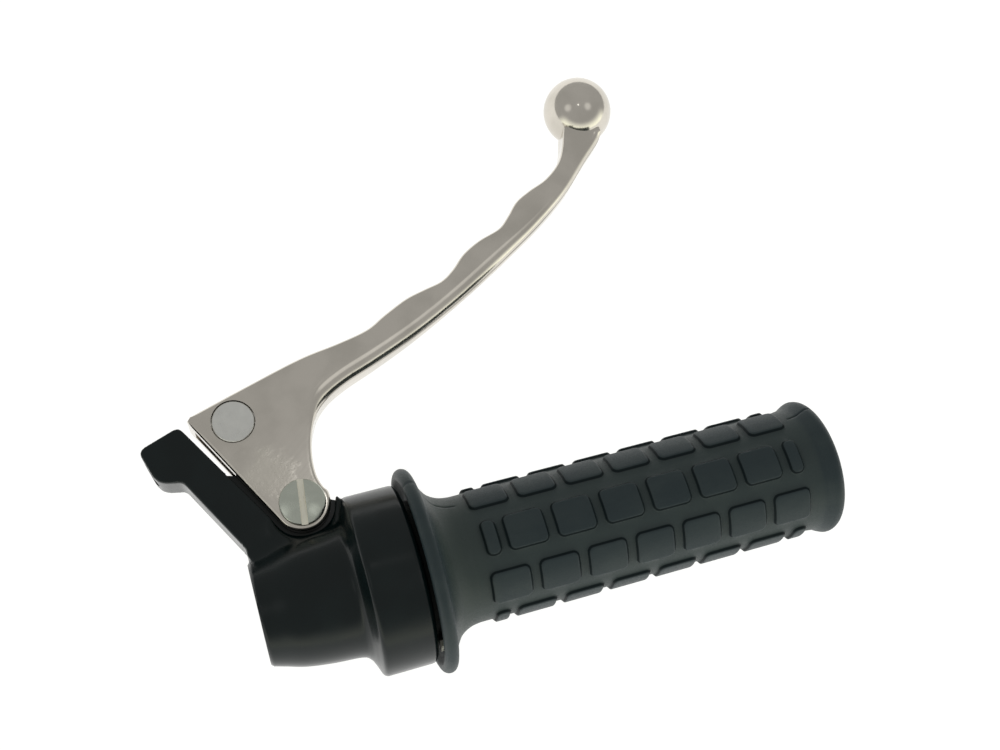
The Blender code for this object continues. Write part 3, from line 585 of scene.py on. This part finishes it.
def make_housing(paint):
    profile = barrel_profile()
    housing = turned("housing_casting", profile, 144)
    arm = plate("arm", arm_outline(), -ARM_HALF, ARM_HALF)
    round_edges(arm, 1.7, 5, 60.0)
    outlet = rod("outlet", (*OUTLET, POST_TOP), (0, 0, -1), POST_TOP - OUTLET_END, OUTLET_R)
    boss = rod("boss", (CLAMP_X, 0.0, POST_TOP), (0, 0, -1), POST_TOP - CLAMP_BOSS_Z,
               CLAMP_BOSS_R)
    for post in (outlet, boss):
        round_edges(post, 0.5, 2)
    combine(housing, [arm, outlet, boss], "UNION")
    remesh = housing.modifiers.new("cast_skin", "REMESH")
    remesh.mode = "VOXEL"
    remesh.voxel_size = CAST_VOXEL * MM
    fillet = housing.modifiers.new("cast_fillets", "SMOOTH")
    fillet.factor = 0.5
    fillet.iterations = CAST_FILLET_ROUNDS
    apply_modifiers(housing)
    even_out(housing, profile)
    blend_arm(housing, profile)
    past_arm = 14.0
    floor = SLOT_HALF - 0.3
    cutters = [rod("pocket_top", (*PIVOT, floor), (0, 0, 1), past_arm, POCKET_R, 128),
               rod("pocket_under", (*PIVOT, -floor), (0, 0, -1), past_arm, POCKET_R, 128)]
    combine(housing, cutters, "DIFFERENCE")
    combine(housing, [plate("tongue", tongue_outline(), -TONGUE_HALF, TONGUE_HALF)], "UNION")
    outside = (SOCKET_FACE[0] - 3.0 * CABLE_WAY[0], SOCKET_FACE[1] - 3.0 * CABLE_WAY[1], 0.0)
    under = (*OUTLET, OUTLET_END - 1.0)
    cutters = [rod("bore", (-1.0, 0.0, 0.0), (1, 0, 0), 30.0, BORE_R, 128),
               rod("chamber", (CHAMBER_X0, 0.0, 0.0), (1, 0, 0), 20.0, CHAMBER_R, 128),
               rod("bush_hole", (*PIVOT, -4.0), (0, 0, 1), 8.0, BUSH_HOLE_R),
               rod("brake_socket", outside, CABLE_WAY, 11.0, SOCKET_R),
               rod("brake_wire", outside, CABLE_WAY, 22.0, WIRE_R, 24),
               rod("throttle_socket", under, (0, 0, 1), 9.0, SOCKET_R),
               rod("throttle_wire", under, (0, 0, 1), 20.0, WIRE_R, 24),
               rod("clamp_hole", (CLAMP_X, 0.0, -24.0), (0, 0, 1), 14.0, SCREW_HOLE_R),
               rod("pad_pocket", (CLAMP_X, 0.0, -13.4), (0, 0, 1), 4.5, 3.9)]
    combine(housing, cutters, "DIFFERENCE")
    shade(housing, 38.0)
    finish_piece(housing, paint, "housing", "black_paint", "housing")


# ---------------------------------------------------------------- lever

def lever_outline():
    """Plan of the lever: round pivot end, straight back, waved front and plain rear edge."""
    leave = tangent_angle(LEVER_CORNER, PIVOT, HEAD_R, +1)
    front = smooth_curve([(-5.5, 53.0), (10.0, 57.5), (25.4, 61.7), (36.0, 63.5), (44.7, 65.6),
                          (50.5, 68.7), (57.4, 72.0), (63.0, 73.6), (68.4, 75.0), (72.4, 77.6),
                          (76.6, 81.4), (82.0, 84.3), (88.4, 86.5), (92.0, 89.6), (95.6, 93.3),
                          (100.2, 95.8), (105.8, 98.2), (110.6, 102.0), (113.4, 106.4),
                          (115.8, 113.0)])
    rear = smooth_curve([(125.4, 112.0), (126.0, 108.2), (118.7, 101.0), (110.4, 92.9),
                         (100.6, 85.6), (90.6, 79.3), (78.5, 72.2), (66.7, 65.9), (56.0, 60.8),
                         (45.0, 56.3), (36.2, 53.0), (30.1, 49.8), (26.1, 46.0), (23.6, 40.8),
                         (22.3, 35.0), (22.2, 30.0), (23.2, 26.6)])
    return [LEVER_CORNER] + front + rear + arc(PIVOT, HEAD_R, 14, leave - 360, 60)


def slot_outline():
    """Plan of the fork's slot; it runs out past the lever's edges."""
    outline = [(-9.0, 48.7), (-4.6, 49.8), (9.5, 53.9), (13.0, 52.0), (14.8, 42.0)]
    outline += arc(PIVOT, POCKET_R + 0.6, 70, 0, 20)
    return outline + [(30.0, 8.0), (-2.0, 10.0)]


def half_thickness(x, y):
    """Half the lever's thickness: it thins from the head to the blade, with a lip at the ball."""
    lip = LIP_HEIGHT * (1 - ease(np.hypot(x - BALL[0], y - BALL[1]), 9.0, 14.0))
    return HEAD_HALF + (BLADE_HALF - HEAD_HALF) * ease(x, 30.0, 75.0) + lip


def lever_rings(outline, inward):
    """(inset, height) of each ring of points, from the flat top down to mid-height."""
    x = outline[:, 0]
    half = half_thickness(x, outline[:, 1])
    rear = ease(x, 23.0, 31.0) * ease(inward[:, 1], 0.25, 0.6)
    rear = rear * (1 - 0.5 * ease(x, 80.0, 112.0))
    corner = 0.3 + 0.7 * ease(x, -6.5, -2.5)
    shoulder = 0.9 * corner + 3.1 * rear
    drop = 0.8 + 1.6 * rear
    last = radians(60.0)
    rings = [(shoulder + 0.5 * corner, half)]
    for ring, turn in enumerate(np.linspace(0.0, last, 17)):
        inset = shoulder * (1 - sin(turn) / sin(last))
        groove = 0.03 * rear * (ring % 2) * (turn > radians(18.0))
        height = half - drop * (1 - cos(turn)) / (1 - cos(last)) - groove
        rings.append((inset + 0.3 * rear, height))
    step = half - drop
    edge = np.zeros(len(x))
    for inset, below in ((0.65, 0.12), (0.65, 0.40), (0.12, 0.60)):
        rings.append((inset * rear, step - below))
    rings.append((edge, 0.4 * step))
    rings.append((edge, edge))
    return rings


def lever_body():
    """The lever before its slot and holes, built from rings that follow its outline."""
    outline = evenly_spaced(lever_outline()[::-1], 0.7)
    along = np.roll(outline, -1, axis=0) - np.roll(outline, 1, axis=0)
    along /= np.hypot(*along.T)[:, None]
    inward = np.stack([-along[:, 1], along[:, 0]], axis=1)
    upper = lever_rings(outline, inward)
    rings = upper + [(inset, -height) for inset, height in upper[-2::-1]]
    count = len(outline)
    points, faces = [], []
    for inset, height in rings:
        plan = outline + inward * inset[:, None]
        points += [(*spot, high) for spot, high in zip(plan, height)]
    for ring in range(len(rings) - 1):
        for i in range(count):
            j = (i + 1) % count
            faces.append((ring * count + i, ring * count + j,
                          (ring + 1) * count + j, (ring + 1) * count + i))
    inner = [Vector(points[i][:2]) for i in range(count)]
    spots, _, triangles, origins, _, _ = delaunay_2d_cdt(inner, [], [range(count)], 1, 1e-5)
    for side, start in ((1, 0), (-1, (len(rings) - 1) * count)):
        names = []
        for spot, origin in zip(spots, origins):
            if origin:
                names.append(start + origin[0])
            else:
                names.append(len(points))
                points.append((*spot, side * half_thickness(*spot)))
        faces += [[names[i] for i in triangle] for triangle in triangles]
    return mesh_object("lever_polished", points, faces)


def ball_object():
    mesh = bpy.data.meshes.new("ball")
    edit = bmesh.new()
    bmesh.ops.create_uvsphere(edit, u_segments=96, v_segments=48, radius=BALL_R * MM)
    edit.to_mesh(mesh)
    edit.free()
    mesh.transform(Matrix.Translation((BALL[0] * MM, BALL[1] * MM, 0.0)))
    made = bpy.data.objects.new("ball", mesh)
    bpy.context.scene.collection.objects.link(made)
    return made


def make_lever(alloy):
    lever = lever_body()
    combine(lever, [ball_object()], "UNION")
    combine(lever, [plate("fork_slot", slot_outline(), -SLOT_HALF, SLOT_HALF),
                    rod("pivot_hole", (*PIVOT, -10.0), (0, 0, 1), 20.0, SCREW_HOLE_R),
                    rod("pin_hole", (*PIN, -10.0), (0, 0, 1), 20.0, PIN_R + 0.2, 96)],
            "DIFFERENCE")
    shade(lever, 38.0)
    finish_piece(lever, alloy, "lever", "cast_aluminium", "brake_lever")


# ---------------------------------------------------------------- fasteners

def threaded(name, length, radius, pitch=1.0, steps=32):
    """A screw thread along +X from the origin, with its ridge on a true helix."""
    depth = 0.35
    levels = int(length / pitch * 8)
    points, faces = [(0.0, 0.0, 0.0)], []
    for level in range(levels + 1):
        x = length * level / levels
        for i in range(steps):
            turn = (x / pitch - i / steps) % 1.0
            ridge = abs(2 * turn - 1)
            fade = min(1.0, min(x, length - x) / pitch + 0.15)
            points.append((x, *around(radius - depth * (1 - ridge * fade), 360.0 * i / steps)))
    points.append((length, 0.0, 0.0))
    for level in range(levels):
        for i in range(steps):
            j = (i + 1) % steps
            start = 1 + level * steps
            faces.append((start + i, start + j, start + steps + j, start + steps + i))
    end = 1 + levels * steps
    faces += [(0, 1 + (i + 1) % steps, 1 + i) for i in range(steps)]
    faces += [(end + steps, end + i, end + (i + 1) % steps) for i in range(steps)]
    return mesh_object(name, points, faces)


def hexagon(name, height, hole=None):
    """A hexagon along +X with turned, chamfered corners at both ends."""
    corner = HEX_FLATS / 2 / cos(pi / 6)
    outline = [around(corner, 60.0 * i) for i in range(6)]
    points = [(x, *spot) for x in (0.0, height) for spot in outline]
    faces = [list(range(6)), list(range(6, 12))]
    faces += [[i, (i + 1) % 6, 6 + (i + 1) % 6, 6 + i] for i in range(6)]
    made = mesh_object(name, points, faces)
    inner = HEX_FLATS / 2 * 0.97
    low = (corner - inner) * 0.5
    profile = [(0.0, 0.0), (0.0, inner), (low, corner + 0.05), (height - low, corner + 0.05),
               (height, inner), (height, 0.0)]
    combine(made, [turned("chamfer", profile, 72)], "INTERSECT")
    if hole:
        combine(made, [rod("hole", (-1.0, 0.0, 0.0), (1, 0, 0), height + 2.0, hole, 48)],
                "DIFFERENCE")
    return made


def finish_piece(made, surface, body, slot, *nodes):
    """Give a finished piece its material and body, and hide the CAD nodes it stands for; slot is
    not used.
    """
    if not made.data.materials:
        made.data.materials.append(surface)
    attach(made, body)
    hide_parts(*nodes)


def make_pivot_screw(zinc, slot_metal):
    """Slotted screw with a low domed head, and the thread that stands out below the nut."""
    head, tip = HEAD_HALF + 0.3, -HEAD_HALF - 7.0
    profile = [(tip + 4.0, 0.0), (tip + 4.0, SCREW_R), (head, SCREW_R), (head, 5.8),
               (head + 0.15, 6.0)]
    profile += [(head + 0.25 + 0.6 * sin(turn), 5.3 + 0.7 * cos(turn))
                for turn in np.linspace(0.0, radians(60.0), 8)]
    rim_x, rim_r = profile[-1]
    profile += [(head + 2.0 - (head + 2.0 - rim_x) * t * t, rim_r * t)
                for t in np.linspace(0.95, 0.0, 16)]
    screw = place(turned("pivot_screw_slotted", profile), (*PIVOT, 0.0), (0, 0, 1))
    screw.data.materials.append(zinc)
    turn = Matrix.Rotation(radians(SLOT_TURN), 2)
    corners = [turn @ Vector(spot) for spot in ((-0.85, -8.0), (0.85, -8.0), (0.85, 8.0),
                                                (-0.85, 8.0))]
    slot = plate("slot", [(PIVOT[0] + x, PIVOT[1] + y) for x, y in corners],
                 head + 0.45, head + 4.0)
    slot.data.materials.append(slot_metal)
    step = screw.modifiers.new("slot", "BOOLEAN")
    step.operation = "DIFFERENCE"
    step.solver = "EXACT"
    step.material_mode = "TRANSFER"
    step.object = slot
    apply_modifiers(screw)
    bpy.data.objects.remove(slot)
    thread = place(threaded("pivot_screw_thread", 4.1, SCREW_R), (*PIVOT, tip), (0, 0, 1))
    thread.data.materials.append(zinc)
    combine(screw, [thread], "UNION")
    shade(screw, 38.0)
    finish_piece(screw, zinc, "lever", "zinc_steel", "pivot_screw")


def make_fasteners(zinc):
    head_z = -31.4
    bolt = place(hexagon("clamp_bolt_head", 4.0), (CLAMP_X, 0.0, head_z), (0, 0, 1))
    thread = place(threaded("clamp_bolt_thread", 13.9, SCREW_R),
                   (CLAMP_X, 0.0, head_z + 3.9), (0, 0, 1))
    combine(bolt, [thread], "UNION")
    lock_nut = hexagon("clamp_lock_nut_chamfered", 4.5, NUT_HOLE_R)
    place(lock_nut, (CLAMP_X, 0.0, CLAMP_BOSS_Z - 4.8), (0, 0, 1))
    nut = place(hexagon("pivot_nut_chamfered", 4.2, NUT_HOLE_R), (*PIVOT, -12.5), (0, 0, 1))
    washer = turned("pivot_spring_washer", [(0.0, 3.4), (0.0, 5.3), (0.12, 5.4), (1.08, 5.4),
                                            (1.2, 5.3), (1.2, 3.4)], closed=True)
    place(washer, (*PIVOT, -8.0), (0, 0, 1))
    split = plate("split", [(PIVOT[0] + x, PIVOT[1] + y) for x, y in
                            ((-0.5, -8.0), (0.1, -8.0), (0.5, -2.0), (-0.1, -2.0))], -9.0, -6.0)
    combine(washer, [split], "DIFFERENCE")
    for piece, body, node in ((bolt, "housing", "clamp_bolt"),
                              (lock_nut, "housing", "clamp_lock_nut"),
                              (nut, "lever", "pivot_nut"),
                              (washer, "lever", "pivot_lock_washer")):
        shade(piece, 35.0)
        finish_piece(piece, zinc, body, "zinc_steel", node)


def make_pin(steel):
    """Swivel pin with a small chamfer, its wire hole and its nipple pocket."""
    edge = 0.22
    profile = [(-HEAD_HALF, 0.0), (-HEAD_HALF, PIN_R - edge), (-HEAD_HALF + edge, PIN_R),
               (HEAD_HALF - edge, PIN_R), (HEAD_HALF, PIN_R - edge), (HEAD_HALF, 0.0)]
    pin = place(turned("cable_pin_ground", profile), (*PIN, 0.0), (0, 0, 1))
    start = (PIN[0] - 8.0 * CABLE_WAY[0], PIN[1] - 8.0 * CABLE_WAY[1], 0.0)
    combine(pin, [rod("wire_hole", start, CABLE_WAY, 16.0, WIRE_R, 32),
                  rod("nipple_hole", (*PIN, 0.0), CABLE_WAY, 8.0, 2.6, 40)], "DIFFERENCE")
    shade(pin, 35.0)
    finish_piece(pin, steel, "swivel", "pin_steel", "cable_pin")


# ---------------------------------------------------------------- rubber grip

def block_spans(row):
    """Where each raised block's top starts and ends; every other row is shifted."""
    if row % 2:
        starts = [BLOCK_START + BLOCK_PITCH * i for i in range(BLOCKS_IN_ROW)]
        return [(x, x + BLOCK_LEN) for x in starts]
    first = SHORT_BLOCK_START + SHORT_BLOCK + SHORT_BLOCK_GAP
    *starts, last = [first + BLOCK_PITCH * i for i in range(BLOCKS_IN_ROW)]
    full = [(x, x + BLOCK_LEN) for x in starts]
    return [(x, x + SHORT_BLOCK) for x in (SHORT_BLOCK_START, last)] + full


def block_height(x, angle):
    """Height of the raised blocks over the grip's body at a place, in millimetres."""
    from_first = angle - BLOCK_FIRST_ROW
    row = round(from_first / ROW_ANGLE) % BLOCK_ROWS
    across = abs((from_first + ROW_ANGLE / 2) % ROW_ANGLE - ROW_ANGLE / 2)
    beside = radians(across - BLOCK_TOP_HALF) * GRIP_R
    height = 0.0
    for start, end in block_spans(row):
        beyond = max(start - x, x - end)
        if min(beyond, beside) > -BLOCK_CORNER:
            apart = hypot(beyond + BLOCK_CORNER, beside + BLOCK_CORNER) - BLOCK_CORNER
        else:
            apart = max(beyond, beside)
        share = min(max(1 - apart / BLOCK_SLOPE, 0.0), 1.0)
        height = max(height, BLOCK_HEIGHT * sin(share * pi / 2) ** 1.5)
    return height


def mould_line(angle):
    """Fine groove where the halves of the mould met."""
    apart = abs((angle - MOULD_LINE + 90.0) % 180.0 - 90.0)
    return -MOULD_LINE_DEPTH * max(0.0, 1 - apart / MOULD_LINE_HALF)


def thinned(values, least):
    """Sorted values without those closer than a least distance to the one before."""
    kept = []
    for value in sorted(values):
        if not kept or value - kept[-1] > least:
            kept.append(value)
    return kept


def grip_lines():
    """Places of the grid's lines along and round the grip, close together at block edges."""
    near = [step * BLOCK_SLOPE for step in (-1.05, -1.0, -0.85, -0.65, -0.4, -0.2, 0.0, 0.3, 0.8)]
    along = [GRID_START + GRID_SPACING * i for i in range(GRID_LINES)]
    for row in (0, 1):
        for start, end in block_spans(row):
            along += [start + step for step in near] + [end - step for step in near]
    degree = degrees(1.0 / GRIP_R)
    sector = [3.0, 6.0, 9.0, 11.5, ROW_ANGLE / 2]
    sector += [BLOCK_TOP_HALF - step * degree for step in near]
    turns = [MOULD_LINE + step + half for half in (0.0, 180.0)
             for step in (-MOULD_LINE_HALF, 0.0, MOULD_LINE_HALF)]
    for row in range(BLOCK_ROWS):
        middle = BLOCK_FIRST_ROW + ROW_ANGLE * row
        turns += [middle] + [middle - value for value in sector[:-1]]
        turns += [middle + value for value in sector]
    return thinned(along, 0.1), thinned([turn % 360.0 for turn in turns], 0.25)


def make_grip(rubber):
    """Flange, flare, ribbed body and end lip as one skin round its bore."""
    xs, angles = grip_lines()
    inner = GRIP_BORE_R
    face = FLANGE_FACE
    start = [(GRIP_BORE_END, inner), (face + 0.2, inner), (face, inner + 0.2), (face, 20.0)]
    start += smooth_curve([(face, 20.4), (face - 0.25, 21.5), (face - 0.9, 22.6)], steps=3)
    start += arc((RIM_X, RIM_CENTRE_R), RIM_R, 228, 10, 18)
    start += smooth_curve([(45.25, 24.2), (45.8, 22.6), (46.7, 20.8), (48.1, 18.95),
                           (49.9, 17.75), (51.8, 17.05), (54.0, GRIP_R)], steps=5)
    end = smooth_curve([(147.5, GRIP_R), (150.2, 17.15), (151.9, 18.0), (153.2, 18.5),
                        (154.5, 18.2), (155.5, 17.2), (156.1, 15.4), (GRIP_END, 13.0)], steps=5)
    profile = start + [(x, GRIP_R) for x in xs] + end
    steps = len(angles)
    points = [(GRIP_BORE_END, 0.0, 0.0)]
    for x, radius in profile:
        blocks = GRIP_R - 0.01 < radius < GRIP_R + 0.01
        outside = radius > GRIP_R - 1.5
        for angle in angles:
            height = block_height(x, angle) if blocks else 0.0
            groove = mould_line(angle) if outside and not blocks else 0.0
            points.append((x, *around(radius + height + groove, angle)))
    points.append((GRIP_END, 0.0, 0.0))
    faces = []
    for ring in range(len(profile) - 1):
        for i in range(steps):
            j = (i + 1) % steps
            low = 1 + ring * steps
            faces.append((low + i, low + j, low + steps + j, low + steps + i))
    last = 1 + (len(profile) - 1) * steps
    faces += [(0, 1 + (i + 1) % steps, 1 + i) for i in range(steps)]
    faces += [(last + steps, last + i, last + (i + 1) % steps) for i in range(steps)]
    grip = mesh_object("grip_moulded", points, faces)
    shade(grip, 50.0)
    finish_piece(grip, rubber, "throttle", "grip_rubber", "grip_rubber")


# ---------------------------------------------------------------- studio

def make_floor():
    """Plain pale floor in one even tone, self-lit so that it renders white."""
    reach = FLOOR_HALF * MM
    corners = [(-reach, -reach), (reach, -reach), (reach, reach), (-reach, reach)]
    mesh = bpy.data.meshes.new("floor")
    mesh.from_pydata([(x, y, 0.0) for x, y in corners], [], [(0, 1, 2, 3)])
    floor = bpy.data.objects.new("floor", mesh)
    floor.location = (0.0, 0.0, cad_box[0][2] - FLOOR_GAP * MM)
    bpy.context.scene.collection.objects.link(floor)
    white = Surface("floor_white", FLOOR_COLOR, 0.8)
    white.shader.inputs["Emission Color"].default_value = (*FLOOR_GLOW, 1.0)
    white.shader.inputs["Emission Strength"].default_value = 1.0
    mesh.materials.append(white.material)


def make_sky():
    """Grey studio dome with a bright low side and two faint lamps."""
    world = bpy.data.worlds.new("studio")
    world.use_nodes = True
    sky = NodeMaker(world.node_tree)
    way = sky.node("ShaderNodeTexCoord").outputs["Generated"]
    parts = sky.node("ShaderNodeSeparateXYZ", Vector=way).outputs
    low = sky.ranged(parts["Z"], 0.0, 0.5, 1.0, 0.0)
    bright_side = sky.math("MULTIPLY", low, sky.ranged(parts["Y"], -0.55, -0.05, 1.0, 0.0))
    level = sky.math("ADD", SKY_LEVEL, sky.math("MULTIPLY", bright_side, SKY_SIDE_LEVEL))
    for direction, outer, inner, step in SKY_SPOTS:
        beside = sky.vector_math("DOT_PRODUCT", way, Vector(direction).normalized())
        spot = sky.ranged(beside, cos(radians(outer)), cos(radians(inner)), 0.0, step)
        level = sky.math("ADD", level, spot)
    background = sky.nodes["Background"]
    tint = sky.mix_color(bright_side, SKY_TINT, SKY_SIDE_TINT)
    sky.feed(tint, background.inputs["Color"])
    sky.feed(level, background.inputs["Strength"])
    bpy.context.scene.world = world


def make_lamp():
    """A small, faint square lamp that shines straight down."""
    lamp = bpy.data.lights.new("small_lamp", "AREA")
    lamp.size = LAMP_SIZE * MM
    lamp.energy = LAMP_WATTS
    made = bpy.data.objects.new("small_lamp", lamp)
    made.location = tuple(value * MM for value in LAMP_PLACE)
    bpy.context.scene.collection.objects.link(made)


def make_camera():
    azimuth, elevation = radians(CAMERA_AZIMUTH), radians(CAMERA_ELEVATION)
    back = Vector((sin(azimuth) * cos(elevation), -cos(azimuth) * cos(elevation),
                   sin(elevation)))
    turn = back.to_track_quat("Z", "Y")
    data = bpy.data.cameras.new("camera")
    data.lens = LENS
    data.sensor_width = SENSOR
    data.clip_start = 0.01
    data.dof.use_dof = False
    camera = bpy.data.objects.new("camera", data)
    matrix = turn.to_matrix().to_4x4() @ Matrix.Rotation(radians(CAMERA_ROLL), 4, "Z")
    camera.matrix_world = Matrix.Translation(Vector(CAMERA_PLACE) * MM) @ matrix
    bpy.context.scene.collection.objects.link(camera)
    bpy.context.scene.camera = camera


def tube_steel():
    """Throttle tube's steel, painted near black as painted shade in the gap, with a painted
    highlight in near white on the lug that stands out of its disc.
    """
    # painted shade: near black, for the shade in the gap between the collar and the flange
    shade_dark = (0.025, 0.027, 0.026)
    skin = Surface("tube_steel", shade_dark, 0.5, 1.0)
    out = skin.along_and_out()[1]
    # painted highlight: the lug that stands out of the disc is painted near white
    lug_highlight = skin.ranged(out, 20.2 * MM, 20.6 * MM)
    tone = skin.mix_color(lug_highlight, shade_dark, (0.92, 0.92, 0.80))
    skin.feed(tone, skin.shader.inputs["Base Color"])
    skin.add_height(skin.noise((0.4, 0.4, 0.4), detail=2.0), 0.02)
    return skin.finish()


def dress_inner_nodes(surfaces):
    """Materials for the CAD nodes that stay as they are."""
    for slot, nodes in (("tube_steel", ("throttle_tube",)), ("shade_dark_steel", ("drum_cover",)),
                        ("zinc_steel", ("clamp_pressure_pad", "cover_screw_1",
                                        "cover_screw_2", "cover_screw_3", "drum_pin_1",
                                        "drum_pin_2", "thrust_washer", "friction_washer")),
                        ("cast_aluminium", ("cable_drum",)),
                        ("brass", ("pivot_bush",))):
        for node in nodes:
            mesh = frame["nodes"][node].data
            mesh.materials.clear()
            mesh.materials.append(surfaces[slot])


def main():
    paint, rubber, alloy, zinc = (painted_casting(), moulded_rubber(), polished_alloy(),
                                  zinc_plate())
    slot_metal = zinc_plate("slot_metal", (0.84, 0.82, 0.70), 0.34, 0.10)
    pin_steel = zinc_plate("pin_steel_ground", (0.72, 0.72, 0.685), 0.32, 0.003)
    brass = zinc_plate("brass_bush", (0.70, 0.52, 0.22), 0.3, 0.02)
    # painted shade: the drum cover's steel is made near black to stand for the shade in the gap
    shade_dark_steel = zinc_plate("shade_dark_steel", (0.03, 0.032, 0.031), 0.5, 0.02)
    make_camera()
    make_floor()
    make_sky()
    make_lamp()
    make_housing(paint)
    make_lever(alloy)
    make_pivot_screw(zinc, slot_metal)
    make_fasteners(zinc)
    make_pin(pin_steel)
    make_grip(rubber)
    dress_inner_nodes({"tube_steel": tube_steel(), "shade_dark_steel": shade_dark_steel,
                       "zinc_steel": zinc, "cast_aluminium": alloy, "brass": brass})
    bpy.context.scene.view_settings.view_transform = "Standard"


main()
